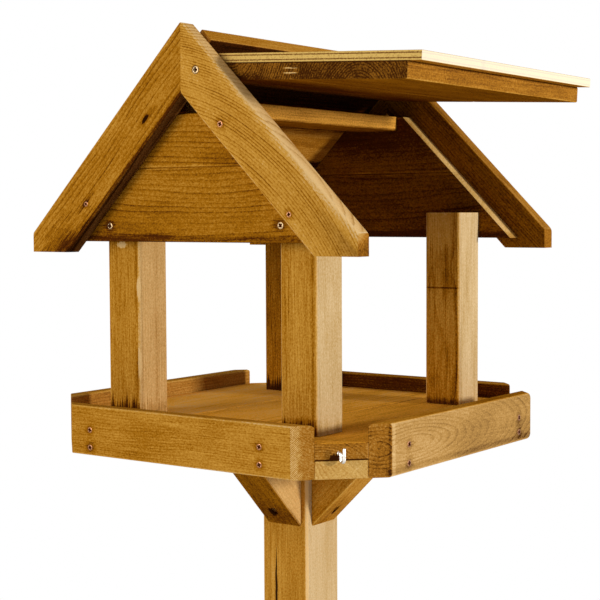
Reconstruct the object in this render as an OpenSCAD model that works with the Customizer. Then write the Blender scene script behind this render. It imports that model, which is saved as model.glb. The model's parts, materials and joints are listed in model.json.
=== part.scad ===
// Bird table: a gabled shelter over a railed tray on a braced post, with a lid in the roof.
// X runs across the front gable, Y runs from front to back along the ridge, Z is up.
// The lid is one slope of the roof. It turns on two screws through the bargeboards.

/* [Stand] */
// Height of the tray's floor above the ground
deck_h = 1080; // [800:5:1500]
// Side of the square main post
mast_w = 60; // [50:1:80]
// Radius of the main post's arrises
mast_arris = 5.5; // [2:0.5:8]
// Length of each of the two crossed feet
foot_len = 560; // [460:10:800]
// Width of a foot
foot_w = 60; // [44:1:80]
// Height of a foot
foot_h = 44; // [34:1:60]
// Height and length of the slope at each end of a foot
foot_nose = 20; // [6:1:28]
// How far a foot brace reaches out from the post
foot_reach = 140; // [90:5:170]
// How far a tray brace reaches out from the post
tray_reach = 88; // [75:1:110]
// Side of the square stock that the braces are cut from
brace_w = 44; // [34:1:50]
// Radius of the braces' arrises
brace_arris = 2.5; // [1:0.5:5]
// Diameter of the hole that sinks a brace's screw
brace_bore_d = 8; // [6:0.5:10]
// How far out from the post that hole's middle meets the brace's sloping face
brace_bore_out = 17; // [14:0.5:24]
// Wood that is left under the sunk screw's head
brace_bore_seat = 7; // [4:0.5:9]

/* [Tray] */
// Width of the tray over its rails
tray_w = 408; // [360:2:520]
// Depth of the tray over its rails
tray_d = 415; // [390:2:520]
// How much of each side the cut across a corner takes off
corner_cut = 67; // [60:1:80]
// Thickness of a rail
rail_t = 16; // [12:0.5:22]
// How far the rails stand above the floor
rail_lip = 17; // [10:1:40]
// Radius of the rails' arrises
rail_arris = 3; // [1:0.5:5]
// Radius of the eased arrises at the right rail's rear end
rail_end_ease = 6.5; // [3:0.5:8]
// Thickness of a floor board
floor_t = 16; // [12:0.5:22]
// Joint between two floor boards
floor_joint = 1; // [0.5:0.5:4]
// Thickness of a bearer under the floor
bearer_t = 17; // [12:0.5:22]
// Gap between two bearers
bearer_gap = 8; // [2:1:12]
// Radius of the floor boards' and bearers' arrises
board_arris = 1.5; // [0.5:0.5:3]

/* [Shelter] */
// Width over the corner posts
shelter_w = 265; // [240:1:290]
// Depth over the corner posts
shelter_d = 314; // [290:1:360]
// Side of a square corner post
post_w = 44; // [34:1:50]
// Height of a corner post above the floor
post_h = 210; // [180:1:300]
// Radius of the corner posts' arrises
post_arris = 4.5; // [1:0.5:6]

/* [Gables] */
// Height of a gable's lower edge above the floor
gable_clear = 182; // [150:1:260]
// Width of a gable along its lower edge
gable_w = 340; // [320:2:400]
// Thickness of a gable board
gable_t = 19; // [12:0.5:25]
// Radius of the gable boards' arrises
gable_arris = 1.5; // [0.5:0.5:4]
// Height of a gable's lower board
gable_low_h = 73; // [50:1:80]
// Height of the front gable's upper board
gable_high_h = 52; // [40:1:60]
// Height of the rear gable's upper board, which reaches nearer the ridge
gable_rear_high_h = 64; // [40:1:66]
// Thickness of a bargeboard
barge_t = 18; // [12:0.5:25]
// Radius of the bargeboards' arrises
barge_arris = 3; // [1:0.5:5]
// Radius of the rounded point that a pair of bargeboards makes at the ridge
barge_point = 6; // [2:0.5:12]
// Radius of the corner above a front bargeboard's plumb end
tail_round_front = 3; // [1:0.5:12]
// Radius of the corner above a rear bargeboard's plumb end
tail_round_rear = 10; // [1:0.5:12]
// How far a bargeboard stands above the underside of the roof boards
barge_up = 30; // [28:0.5:40]
// How far a bargeboard reaches below the underside of the roof boards
barge_down = 20; // [12:0.5:30]
// Width over the bargeboards' lower ends
eave_w = 404; // [380:2:460]
// How far the bargeboards' level ends hang below the gables' lower edge
tail_drop = 11; // [0:0.5:20]

/* [Roof] */
// Thickness of a roof board
plank_t = 16; // [12:0.5:20]
// Length down the slope that the roof boards cover, from the ridge
slope_len = 240; // [230:1:280]
// Distance down the slope from the ridge to the joint between two roof boards
plank_split = 115; // [90:1:140]
// Joint between two roof boards
plank_joint = 1; // [0.5:0.5:3]
// Thickness of the tongue that joins two roof boards
tongue_t = 5; // [3:0.5:6]
// Length of that tongue
tongue_len = 9; // [4:0.5:12]
// Thickness of the plywood sheets
ply_t = 9; // [6:0.5:12]
// How far the plywood reaches past the roof boards at the eaves
ply_over = 14; // [0:1:20]
// How far the fixed slope's top board stands above the closed lid
ridge_proud = 7.5; // [4:0.5:15]
// How far the fixed slope's plywood stops short of that board's end
ply_back = 14; // [10:1:30]
// Width of the ridge batten
ridge_batten_w = 50; // [30:1:56]
// Thickness of the ridge batten
ridge_batten_t = 16; // [10:0.5:20]
// Distance from the ridge line down to the ridge batten's top
ridge_batten_down = 32.5; // [30:0.5:36]

/* [Lid] */
// Angle by which the lid is raised from its closed place
lid_open = 42; // [0:1:75]
// Distance down the slope from the ridge to the pivot
pivot_in = 17; // [16:0.5:24]
// How far the lid's top board reaches up past the pivot
pivot_tail = 9.5; // [8:0.5:12]
// Distance from the pivot down to the lid's plywood
ply_in = 11; // [4:1:20]
// Gap between the lid and each bargeboard
lid_side_gap = 2; // [1:0.5:5]
// Gap under the closed lid
lid_seat_gap = 0.5; // [0.3:0.1:1]
// Diameter of a pivot screw's shank
pivot_d = 4.5; // [3.5:0.5:6]
// Diameter of a pivot screw's head
pivot_head_d = 8.5; // [7:0.5:11]
// Depth of a pivot screw's head
pivot_head_t = 2.6; // [2:0.1:4]
// Length of a pivot screw in the lid's top board
pivot_grip = 26; // [15:1:40]
// Running clearance round a pivot screw
pivot_play = 0.1; // [0.05:0.01:0.1]

/* [Hooks] */
// Diameter of a hook's wire
hook_wire = 2.8; // [2:0.1:3.5]
// Radius of a hook's bend, to the middle of the wire
hook_bend = 6; // [5:0.5:9]
// Length of a hook's upright tip above its bend
hook_tip = 9; // [4:0.5:12]
// Diameter of a hook's collar
hook_collar_d = 8; // [6:0.5:11]
// Thickness of a hook's collar
hook_collar_t = 1.6; // [1:0.1:2.5]

/* [Hidden] */

PITCH = 45;          // both slopes stand at this angle, so they meet square at the ridge
ROUND = 32;          // facets that OpenSCAD draws on a true circle
HOOK_ROUND = 64;     // the same on a hook's wire and bend
LAP_PLAY = 0.2;      // clearance at each side of the halving joint in the feet
TONGUE_PLAY = 0.2;   // clearance at each side of a roof board's tongue
PAST = 1;            // how far a cutter runs past the face that it cuts

STAIN = "peru";
STAIN_PALE = "burlywood";
STAIN_DEEP = "sienna";

tray_base = deck_h - floor_t - bearer_t;      // underside of the bearers, where the post ends
rail_h = rail_lip + floor_t + bearer_t;
corner_sum = (tray_w + tray_d) / 2 - corner_cut;   // |x| + |y| on the cut across a corner
bed_w = tray_w - 2 * rail_t;                  // width between the rails
bed_d = tray_d - 2 * rail_t;                  // depth between the rails
floor_board_w = (bed_w - 2 * floor_joint) / 3;
bearer_w = (bed_d - 2 * bearer_gap) / 3;

gable_in = shelter_d / 2;                     // inner face of a gable, on the posts
gable_out = gable_in + gable_t;               // outer face of a gable
barge_out = gable_out + barge_t;              // outer face of a bargeboard
gable_low = deck_h + gable_clear;
ridge_z = gable_low + gable_w / 2 * tan(PITCH);    // where the undersides of the slopes meet
gable_joint = gable_low + gable_low_h;
tail_z = gable_low - tail_drop;

lid_t = plank_t + ply_t;
ridge_lap = lid_seat_gap + lid_t + ridge_proud;    // how far the fixed slope runs past the ridge
lid_half = gable_out - lid_side_gap;          // half the lid's length along the ridge
pivot_n = lid_seat_gap + plank_t / 2;         // height of the pivot above the slope's underside
pivot_x = pivot_in * cos(PITCH) + pivot_n * sin(PITCH);
pivot_z = ridge_z - pivot_in * sin(PITCH) + pivot_n * cos(PITCH);

// ---- shapes that several pieces share ----

// A rectangle about the origin with rounded corners
module rounded_section(w, h, r) {
    square([w - 2 * r, h], center = true);
    square([w, h - 2 * r], center = true);
    for (x = [-1, 1], y = [-1, 1])
        translate([x * (w / 2 - r), y * (h / 2 - r)]) circle(r, $fn = ROUND);
}

// A bar that stands on the origin
module upright(w, h, r) {
    linear_extrude(h) rounded_section(w, w, r);
}

// A bar along X with its middle at the origin: w is its size in Y and h its size in Z
module bar_x(len, w, h, r) {
    translate([-len / 2, 0, 0]) rotate([90, 0, 90]) linear_extrude(len) rounded_section(w, h, r);
}

// A bar along Y with its middle at the origin: w is its size in X and h its size in Z
module bar_y(len, w, h, r) {
    rotate([0, 0, 90]) bar_x(len, w, h, r);
}

// A flat plate: an outline in X and Z, between two planes of Y
module plate(y_from, y_to, outline) {
    translate([0, y_to, 0]) rotate([90, 0, 0]) linear_extrude(y_to - y_from) polygon(outline);
}

// The tray's outline with its corners cut across, inset from the rails' outer faces
module tray_prism(inset, z_from, z_to) {
    a = tray_w / 2 - inset;
    b = tray_d / 2 - inset;
    s = corner_sum;
    translate([0, 0, z_from]) linear_extrude(z_to - z_from)
        polygon([[a, s - a], [s - b, b], [b - s, b], [-a, s - a],
                 [-a, a - s], [b - s, -b], [s - b, -b], [a, a - s]]);
}

// Children drawn on the right slope: X runs down the slope and Z out of it, from the ridge line
module on_right_slope() {
    translate([0, 0, ridge_z]) rotate([0, PITCH, 0]) children();
}

module on_left_slope() {
    mirror([1, 0, 0]) on_right_slope() children();
}

// Children drawn on the raised lid: X runs towards the eave and Z out of its boards
module on_lid() {
    translate([pivot_x, 0, pivot_z]) rotate([0, PITCH - lid_open, 0]) children();
}

// A board or sheet along the ridge: x is down the slope, n is out of it
module slope_board(x_from, x_to, n_from, n_to, half, r) {
    translate([(x_from + x_to) / 2, 0, (n_from + n_to) / 2])
        bar_y(2 * half, x_to - x_from, n_to - n_from, r);
}

// The tongue below a roof board, whose own edge is at x = 0 and whose middle is at n
module tongue(n, half) {
    translate([-PAST, -half, n - tongue_t / 2]) cube([PAST + tongue_len, 2 * half, tongue_t]);
}

// The groove for that tongue, a joint further down
module groove(n, half) {
    wide = tongue_t + 2 * TONGUE_PLAY;
    translate([0, -half - PAST, n - wide / 2])
        cube([tongue_len + plank_joint, 2 * (half + PAST), wide]);
}

// ---- stand ----

module main_post() {
    color(STAIN) translate([0, 0, foot_h]) upright(mast_w, tray_base - foot_h, mast_arris);
}

// One foot along X with sloping ends
module foot_beam() {
    e = foot_len / 2;
    plate(-foot_w / 2, foot_w / 2, [[-e, 0], [e, 0], [e, foot_h - foot_nose],
        [e - foot_nose, foot_h], [foot_nose - e, foot_h], [-e, foot_h - foot_nose]]);
}

// The half of a foot's crossing that is cut away
module foot_halving(z_from, z_to) {
    side = foot_w + 2 * LAP_PLAY;
    translate([-side / 2, -foot_w / 2 - PAST, z_from])
        cube([side, foot_w + 2 * PAST, z_to - z_from]);
}

module foot_across() {
    color(STAIN_PALE) difference() {
        foot_beam();
        foot_halving(foot_h / 2, foot_h + PAST);
    }
}

module foot_along() {
    color(STAIN) rotate([0, 0, 90]) difference() {
        foot_beam();
        foot_halving(-PAST, foot_h / 2);
    }
}

// The level hole that sinks a strut's screw: it enters through the sloping face
module strut_bore() {
    translate([brace_bore_seat, 0, brace_bore_out]) rotate([0, 90, 0])
        cylinder(d = brace_bore_d, h = brace_bore_out + brace_bore_d, $fn = ROUND);
}

// A strut at 45 degrees from the post's face at the origin: its foot is low and its head far out
module strut(reach) {
    run = reach * sqrt(2);
    difference() {
        intersection() {
            translate([0, -brace_w / 2 - PAST, 0]) cube([reach, brace_w + 2 * PAST, reach]);
            rotate([0, -45, 0]) translate([run / 2, 0, brace_w / 2])
                bar_x(2 * run, brace_w, brace_w, brace_arris);
        }
        strut_bore();
    }
}

// A tray brace on one of the post's faces: 0 is the right, 90 the rear
module tray_brace(angle) {
    color(STAIN_DEEP) rotate([0, 0, angle])
        translate([mast_w / 2, 0, tray_base - tray_reach]) strut(tray_reach);
}

// A foot brace on one of the post's faces
module foot_brace(angle) {
    color(STAIN_DEEP) rotate([0, 0, angle]) translate([mast_w / 2, 0, foot_h + foot_reach])
        mirror([0, 0, 1]) strut(foot_reach);
}

module foot_brace_right() { foot_brace(0); }
module foot_brace_rear() { foot_brace(90); }
module foot_brace_left() { foot_brace(180); }
module foot_brace_front() { foot_brace(270); }
module tray_brace_right() { tray_brace(0); }
module tray_brace_rear() { tray_brace(90); }
module tray_brace_left() { tray_brace(180); }
module tray_brace_front() { tray_brace(270); }

// ---- tray ----

// A bearer across the tray, in the row from -1 at the front to 1 at the rear
module bearer(row) {
    color(STAIN_DEEP) intersection() {
        translate([0, row * (bearer_w + bearer_gap), tray_base + bearer_t / 2])
            bar_x(bed_w, bearer_w, bearer_t, board_arris);
        tray_prism(rail_t, tray_base - PAST, deck_h);
    }
}

module bearer_front() { bearer(-1); }
module bearer_middle() { bearer(0); }
module bearer_rear() { bearer(1); }

// A floor board from front to back, in the row from -1 at the left to 1 at the right
module floor_board(row) {
    color(STAIN_PALE) intersection() {
        translate([row * (floor_board_w + floor_joint), 0, deck_h - floor_t / 2])
            bar_y(bed_d, floor_board_w, floor_t, board_arris);
        tray_prism(rail_t, tray_base, deck_h + PAST);
    }
}

module floor_board_left() { floor_board(-1); }
module floor_board_middle() { floor_board(0); }
module floor_board_right() { floor_board(1); }

// A rail at the front for side -1, or at the rear for side 1
module rail_x(side) {
    color(STAIN) intersection() {
        translate([0, side * (tray_d - rail_t) / 2, tray_base + rail_h / 2])
            bar_x(tray_w, rail_t, rail_h, rail_arris);
        tray_prism(0, tray_base - PAST, deck_h + rail_lip + PAST);
    }
}

// A rail at the left for side -1, or at the right for side 1
module rail_y(side) {
    color(STAIN_PALE) intersection() {
        translate([side * (tray_w - rail_t) / 2, 0, tray_base + rail_h / 2])
            bar_y(tray_d, rail_t, rail_h, rail_arris);
        tray_prism(0, tray_base - PAST, deck_h + rail_lip + PAST);
    }
}

module rail_front() { rail_x(-1); }
module rail_rear() { rail_x(1); }
module rail_left() { rail_y(-1); }

// The cut across the rear right corner has eased arrises, above and below
module rail_right() {
    color(STAIN_PALE) intersection() {
        rail_y(1);
        translate([0, 0, tray_base + rail_h / 2]) rotate([0, 0, 45])
            bar_y(tray_w + tray_d, corner_sum * sqrt(2), rail_h, rail_end_ease);
    }
}

// A cup hook: its collar lies on the plane x = 0 and it stands out along X
module cup_hook() {
    neck = 3;                      // straight wire between the collar and the bend
    join_angle = 150;              // where the neck meets the bend
    bend_turn = 210;               // how far the wire runs round, down and up
    tip_lap = 0.4;                 // how far the tip reaches down into the bend
    tip_ease = 0.1;                // how much thinner than the wire the tip is
    centre_x = hook_collar_t + neck - hook_bend * cos(join_angle);
    centre_z = -hook_bend * sin(join_angle);
    rotate([0, 90, 0]) cylinder(d = hook_collar_d, h = hook_collar_t, $fn = HOOK_ROUND);
    rotate([0, 90, 0])
        cylinder(d = hook_wire, h = hook_collar_t + neck + hook_wire / 3, $fn = HOOK_ROUND);
    translate([centre_x, 0, centre_z]) rotate([90, 0, 0]) rotate([0, 0, join_angle])
        rotate_extrude(angle = bend_turn, $fn = HOOK_ROUND)
            translate([hook_bend, 0]) circle(d = hook_wire, $fn = HOOK_ROUND);
    translate([centre_x + hook_bend, 0, centre_z - tip_lap])
        cylinder(d = hook_wire - tip_ease, h = hook_tip + tip_lap, $fn = HOOK_ROUND);
}

// A hook in the middle of two opposite cut corners, at half the floor's thickness
module corner_hooks() {
    a = (corner_sum + bed_w / 2 - bed_d / 2) / 2;
    b = corner_sum - a;
    color("silver") for (side = [-1, 1])
        translate([side * a, -side * b, deck_h - floor_t / 2])
            rotate([0, 0, atan2(-side, side)]) cup_hook();
}

// ---- shelter ----

// A corner post, with side signs in X and Y
module corner_post(sx, sy) {
    color(STAIN_PALE)
        translate([sx * (shelter_w - post_w) / 2, sy * (shelter_d - post_w) / 2, deck_h])
            upright(post_w, post_h, post_arris);
}

module post_front_left() { corner_post(-1, -1); }
module post_front_right() { corner_post(1, -1); }
module post_rear_left() { corner_post(-1, 1); }
module post_rear_right() { corner_post(1, 1); }

// A gable board between two heights, with its ends on the two slopes
module gable_board(side, z_from, z_to) {
    reach = ridge_z - z_from + PAST;
    thick = gable_t / 2 + PAST;
    color(STAIN) translate([0, side * (gable_in + gable_t / 2), 0]) intersection() {
        translate([0, 0, (z_from + z_to) / 2])
            bar_x(2 * reach, gable_t, z_to - z_from, gable_arris);
        plate(-thick, thick, [[-reach, z_from - PAST], [reach, z_from - PAST], [0, ridge_z]]);
    }
}

module gable_front_low() { gable_board(-1, gable_low, gable_joint); }
module gable_front_high() { gable_board(-1, gable_joint, gable_joint + gable_high_h); }
module gable_rear_low() { gable_board(1, gable_low, gable_joint); }
module gable_rear_high() { gable_board(1, gable_joint, gable_joint + gable_rear_high_h); }

// What is cut away to round the point above the ridge: a square on its corner, less a cylinder
module barge_point_cut() {
    r = barge_point;
    thick = barge_t / 2 + PAST;
    translate([0, 0, ridge_z + barge_up / cos(PITCH) - r * sqrt(2)]) difference() {
        rotate([0, -PITCH, 0]) translate([0, -thick, 0]) cube([r + PAST, 2 * thick, r + PAST]);
        translate([0, thick + PAST, 0]) rotate([90, 0, 0])
            cylinder(r = r, h = 2 * (thick + PAST), $fn = ROUND);
    }
}

// What is cut away to round the corner above the plumb end
module barge_tail_cut(r) {
    thick = barge_t / 2 + PAST;
    corner_x = eave_w / 2;
    corner_z = ridge_z + barge_up / cos(PITCH) - corner_x * tan(PITCH);
    x = corner_x - r;
    z = corner_z - r * tan((90 - PITCH) / 2);
    difference() {
        plate(-thick, thick, [[x, z], [x + r + PAST, z], [corner_x + PAST, corner_z + PAST],
            [x + (r + PAST) * sin(PITCH), z + (r + PAST) * cos(PITCH)]]);
        translate([x, thick + PAST, z]) rotate([90, 0, 0])
            cylinder(r = r, h = 2 * (thick + PAST), $fn = ROUND);
    }
}

// A right bargeboard: mitred at the ridge, and cut plumb and level at its lower end
module bargeboard(side) {
    wide = barge_up + barge_down;
    thick = barge_t / 2 + PAST;
    translate([0, side * (gable_out + barge_t / 2), 0]) difference() {
        intersection() {
            on_right_slope() translate([0, 0, barge_up - wide / 2])
                bar_x(2 * eave_w, barge_t, wide, barge_arris);
            translate([0, -thick, tail_z])
                cube([eave_w / 2, 2 * thick, ridge_z + wide - tail_z]);
        }
        barge_point_cut();
        barge_tail_cut(side < 0 ? tail_round_front : tail_round_rear);
    }
}

// The hole for a pivot screw through a bargeboard, with a seat for the head
module pivot_hole(side) {
    r = pivot_d / 2 + pivot_play;
    head_r = pivot_head_d / 2 + pivot_play;
    translate([pivot_x, side * (gable_out - PAST), pivot_z]) rotate([side * -90, 0, 0]) {
        cylinder(r = r, h = barge_t + 2 * PAST, $fn = ROUND);
        translate([0, 0, PAST + barge_t - pivot_head_t])
            cylinder(r1 = r, r2 = head_r, h = pivot_head_t, $fn = ROUND);
        translate([0, 0, PAST + barge_t]) cylinder(r = head_r, h = PAST, $fn = ROUND);
    }
}

module bargeboard_front_right() {
    color(STAIN) difference() {
        bargeboard(-1);
        pivot_hole(-1);
    }
}

module bargeboard_rear_right() {
    color(STAIN) difference() {
        bargeboard(1);
        pivot_hole(1);
    }
}

module bargeboard_front_left() { color(STAIN) mirror([1, 0, 0]) bargeboard(-1); }
module bargeboard_rear_left() { color(STAIN) mirror([1, 0, 0]) bargeboard(1); }

// ---- roof ----

module ridge_batten() {
    color(STAIN_PALE) translate([0, 0, ridge_z - ridge_batten_down - ridge_batten_t / 2])
        bar_y(2 * gable_in, ridge_batten_w, ridge_batten_t, board_arris);
}

module roof_board_high() {
    color(STAIN) on_left_slope() {
        slope_board(-ridge_lap, plank_split, 0, plank_t, gable_out, board_arris);
        translate([plank_split, 0, 0]) tongue(plank_t / 2, gable_out);
    }
}

module roof_board_low() {
    color(STAIN) on_left_slope() difference() {
        slope_board(plank_split + plank_joint, slope_len, 0, plank_t, gable_out, board_arris);
        translate([plank_split, 0, 0]) groove(plank_t / 2, gable_out);
    }
}

module roof_ply() {
    color(STAIN_PALE) on_left_slope() slope_board(ply_back - ridge_lap, slope_len + ply_over,
        plank_t, plank_t + ply_t, gable_out, board_arris / 2);
}

// ---- lid ----

// The hole for a pivot screw in the lid's top board
module pivot_socket(side) {
    translate([0, side * (lid_half - pivot_grip), 0]) rotate([side * -90, 0, 0])
        cylinder(r = pivot_d / 2 + pivot_play / 2, h = pivot_grip + PAST, $fn = ROUND);
}

module lid_board_high() {
    color(STAIN_DEEP) on_lid() difference() {
        union() {
            slope_board(-pivot_tail, plank_split - pivot_in, -plank_t / 2, plank_t / 2,
                lid_half, board_arris);
            translate([plank_split - pivot_in, 0, 0]) tongue(0, lid_half);
        }
        pivot_socket(-1);
        pivot_socket(1);
    }
}

module lid_board_low() {
    color(STAIN_DEEP) on_lid() difference() {
        slope_board(plank_split + plank_joint - pivot_in, slope_len - pivot_in,
            -plank_t / 2, plank_t / 2, lid_half, board_arris);
        translate([plank_split - pivot_in, 0, 0]) groove(0, lid_half);
    }
}

module lid_ply() {
    color(STAIN_PALE) on_lid() slope_board(ply_in, slope_len + ply_over - pivot_in,
        plank_t / 2, plank_t / 2 + ply_t, lid_half, board_arris / 2);
}

// A pivot screw, whose head ends flush with the bargeboard's outer face
module pivot_screw(side) {
    inner = lid_half - pivot_grip + PAST;
    color("silver") translate([pivot_x, side * inner, pivot_z]) rotate([side * -90, 0, 0]) {
        cylinder(d = pivot_d, h = barge_out - inner, $fn = ROUND);
        translate([0, 0, barge_out - inner - pivot_head_t])
            cylinder(d1 = pivot_d, d2 = pivot_head_d, h = pivot_head_t, $fn = ROUND);
    }
}

module pivot_screw_front() { pivot_screw(-1); }
module pivot_screw_rear() { pivot_screw(1); }

main_post();
foot_across();
foot_along();
foot_brace_right();
foot_brace_rear();
foot_brace_left();
foot_brace_front();
tray_brace_right();
tray_brace_rear();
tray_brace_left();
tray_brace_front();
bearer_front();
bearer_middle();
bearer_rear();
floor_board_left();
floor_board_middle();
floor_board_right();
rail_front();
rail_rear();
rail_left();
rail_right();
corner_hooks();
post_front_left();
post_front_right();
post_rear_left();
post_rear_right();
gable_front_low();
gable_front_high();
gable_rear_low();
gable_rear_high();
bargeboard_front_left();
bargeboard_front_right();
bargeboard_rear_left();
bargeboard_rear_right();
ridge_batten();
roof_board_high();
roof_board_low();
roof_ply();
lid_board_high();
lid_board_low();
lid_ply();
pivot_screw_front();
pivot_screw_rear();
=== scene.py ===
"""Bird table: stained timber, plywood, screws, cup hooks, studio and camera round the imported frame."""

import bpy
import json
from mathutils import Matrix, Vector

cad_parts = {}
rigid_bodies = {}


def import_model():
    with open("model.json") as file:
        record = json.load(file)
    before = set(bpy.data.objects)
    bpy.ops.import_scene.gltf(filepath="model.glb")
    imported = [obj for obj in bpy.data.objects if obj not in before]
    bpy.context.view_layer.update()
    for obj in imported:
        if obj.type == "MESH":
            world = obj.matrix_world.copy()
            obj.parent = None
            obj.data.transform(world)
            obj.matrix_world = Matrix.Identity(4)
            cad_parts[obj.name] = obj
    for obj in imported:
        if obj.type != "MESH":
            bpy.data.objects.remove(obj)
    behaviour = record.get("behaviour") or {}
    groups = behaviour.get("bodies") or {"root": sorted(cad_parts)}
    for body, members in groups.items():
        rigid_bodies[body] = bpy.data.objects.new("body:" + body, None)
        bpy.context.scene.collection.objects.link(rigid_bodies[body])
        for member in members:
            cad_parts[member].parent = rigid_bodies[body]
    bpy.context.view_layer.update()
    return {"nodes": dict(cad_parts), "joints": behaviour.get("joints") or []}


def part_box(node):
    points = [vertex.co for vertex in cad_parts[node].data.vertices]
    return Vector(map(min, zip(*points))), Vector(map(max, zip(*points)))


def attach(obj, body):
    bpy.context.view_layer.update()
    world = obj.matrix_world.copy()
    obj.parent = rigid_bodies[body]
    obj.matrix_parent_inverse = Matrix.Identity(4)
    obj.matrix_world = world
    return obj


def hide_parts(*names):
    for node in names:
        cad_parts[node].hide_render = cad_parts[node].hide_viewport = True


bl_info = {
    "name": "Bird Table",
    "version": (1, 0, 0),
    "blender": (4, 5, 0),
    "location": "View3D > Sidebar > Bird Table",
    "description": "Finishes a packed bird table and sets up its studio",
    "category": "Object",
}

import json
import math

import bmesh
import bpy
from bpy.props import FloatProperty, FloatVectorProperty, PointerProperty
from mathutils import Matrix, Vector

for factory_object in list(bpy.data.objects):
    bpy.data.objects.remove(factory_object)

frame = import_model()
NODES = frame["nodes"]

MM = 0.001
SPECK = 0.24  # how much specks change the depth of stain
LATE = 0.22  # what the rings' late wood comes to on average, so that tone stays the middle
SAME_PLACE = 1e-5  # corners nearer than this are one, in metres
FLAT = math.radians(0.5)  # faces that turn less than this are one
SHARP = math.radians(40)  # an edge that turns more than this is an arris
# The sunk holes of the braces: their seats' distance from the post's middle, and their height in a brace
BORE_SEAT, BORE_RISE = 37 * MM, 17 * MM
SMALL_HEAD = 6.3  # heads smaller than this are copper-coloured, in millimetres
BORE_HEAD = 6.5  # a screw's head in a brace's sunk hole, in millimetres
SLOPE_HEAD = 6.0  # and on the fixed slope's boards
SLOPE_RUN = 166  # how far along a slope's board its end screws stand from its middle, in millimetres
PROUD = 0.2  # how far every head stands above the wood, in millimetres
TURN = 0.7  # each screw's recess is turned this much further than the last one's, in radians
X, Y, Z = Vector((1, 0, 0)), Vector((0, 1, 0)), Vector((0, 0, 1))
LID_JOINT = frame["joints"][0]
PITCH = math.radians(45)
LID_SLOPE = PITCH + math.radians(LID_JOINT["range_deg"][0])  # what is left of the pitch when raised


def slope(angle, side=1):
    """The direction down a slope on that side, and the direction out of it."""
    return (
        Vector((side * math.cos(angle), 0, -math.sin(angle))),
        Vector((side * math.sin(angle), 0, math.cos(angle))),
    )


DOWN_RIGHT, OUT_RIGHT = slope(PITCH)
DOWN_LEFT, OUT_LEFT = slope(PITCH, -1)
LID_OUT = slope(LID_SLOPE)[1]
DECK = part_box("floor_board_middle")[1].z
PIVOT = sum(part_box("pivot_screw_front"), Vector()) / 2

# Screws: how far across and above the tray's floor, and the head, in millimetres; the rear repeats the front
SCREWS = {
    "gable_front_low": [(-110.6, 197.7, 6.4), (104.1, 198.4, 6.4)],
    "bargeboard_front_right": [(47.5, 293.6, 6.0), (126.9, 208.6, 5.2)],
    "bargeboard_front_left": [(-126.4, 220.0, 4.8)],
    "rail_front": [(-112, -7.1, 5.6), (-112, -24.9, 5.6), (101.5, -5.1, 5.6), (101.5, -21.8, 5.6)],
    "rail_right": [(-110.3, -6.1, 6.2), (-110.3, -24.0, 6.2), (113.5, -7.4, 6.2), (113.5, -22.8, 6.2)],
}
SCREWS["rail_left"] = SCREWS["rail_right"]
for screwed in [name for name in SCREWS if "front" in name]:
    SCREWS[screwed.replace("front", "rear")] = SCREWS[screwed]
BOARDS = {}


# ---- shader nodes ----


class Port:
    """An output socket: arithmetic on it adds Math nodes."""

    def __init__(self, finish, socket):
        self.finish = finish
        self.socket = socket

    def __add__(self, other):
        return self.finish.math("ADD", self, other)

    __radd__ = __add__

    def __sub__(self, other):
        return self.finish.math("SUBTRACT", self, other)

    def __rsub__(self, other):
        return self.finish.math("SUBTRACT", other, self)

    def __mul__(self, other):
        return self.finish.math("MULTIPLY", self, other)

    __rmul__ = __mul__

    def __truediv__(self, other):
        return self.finish.math("DIVIDE", self, other)

    def __pow__(self, other):
        return self.finish.math("POWER", self, other)

    def __abs__(self):
        return self.finish.math("ABSOLUTE", self)


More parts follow.
